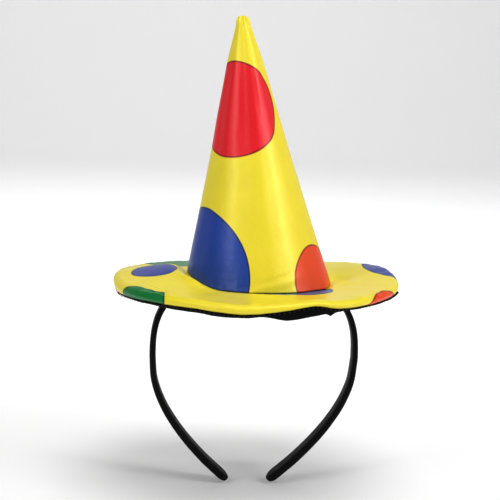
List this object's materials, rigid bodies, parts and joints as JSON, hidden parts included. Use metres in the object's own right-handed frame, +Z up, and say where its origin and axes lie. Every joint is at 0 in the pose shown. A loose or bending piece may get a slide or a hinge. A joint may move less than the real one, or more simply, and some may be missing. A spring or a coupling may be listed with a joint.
{
  "type": "clown headband",
  "caption": "Small pointed party hat in dotted yellow satin, a leaning cone on a round wavy brim with a black lining, carried by a black fabric-covered head hoop",
  "frame": {"origin": "the middle of the lining's underside, where the hat sits on the top of the head", "axes": "+Z up from the head to the hat's tip, +X to the right seen from the front and along the hoop's plane, -Y to the front"},
  "size_m": [0.171, 0.171, 0.2817],
  "materials": {
    "cone_satin": "glossy woven satin, bright yellow with large printed dots in red, blue, green and orange, each dot with a thin darker edge",
    "brim_satin": "the same dotted yellow satin, softly padded and creased, with one straight seam at the front left",
    "black_lining": "thin black woven lining with a dull sheen, slack at the front edge",
    "black_band": "black satin ribbon wound tight over a springy hoop, low sheen with fine slanted edges"
  },
  "bodies": {
    "root": {"cone": "cone_satin", "brim_top": "brim_satin", "brim_lining": "black_lining", "headband": "black_band"}
  },
  "joints": []
}
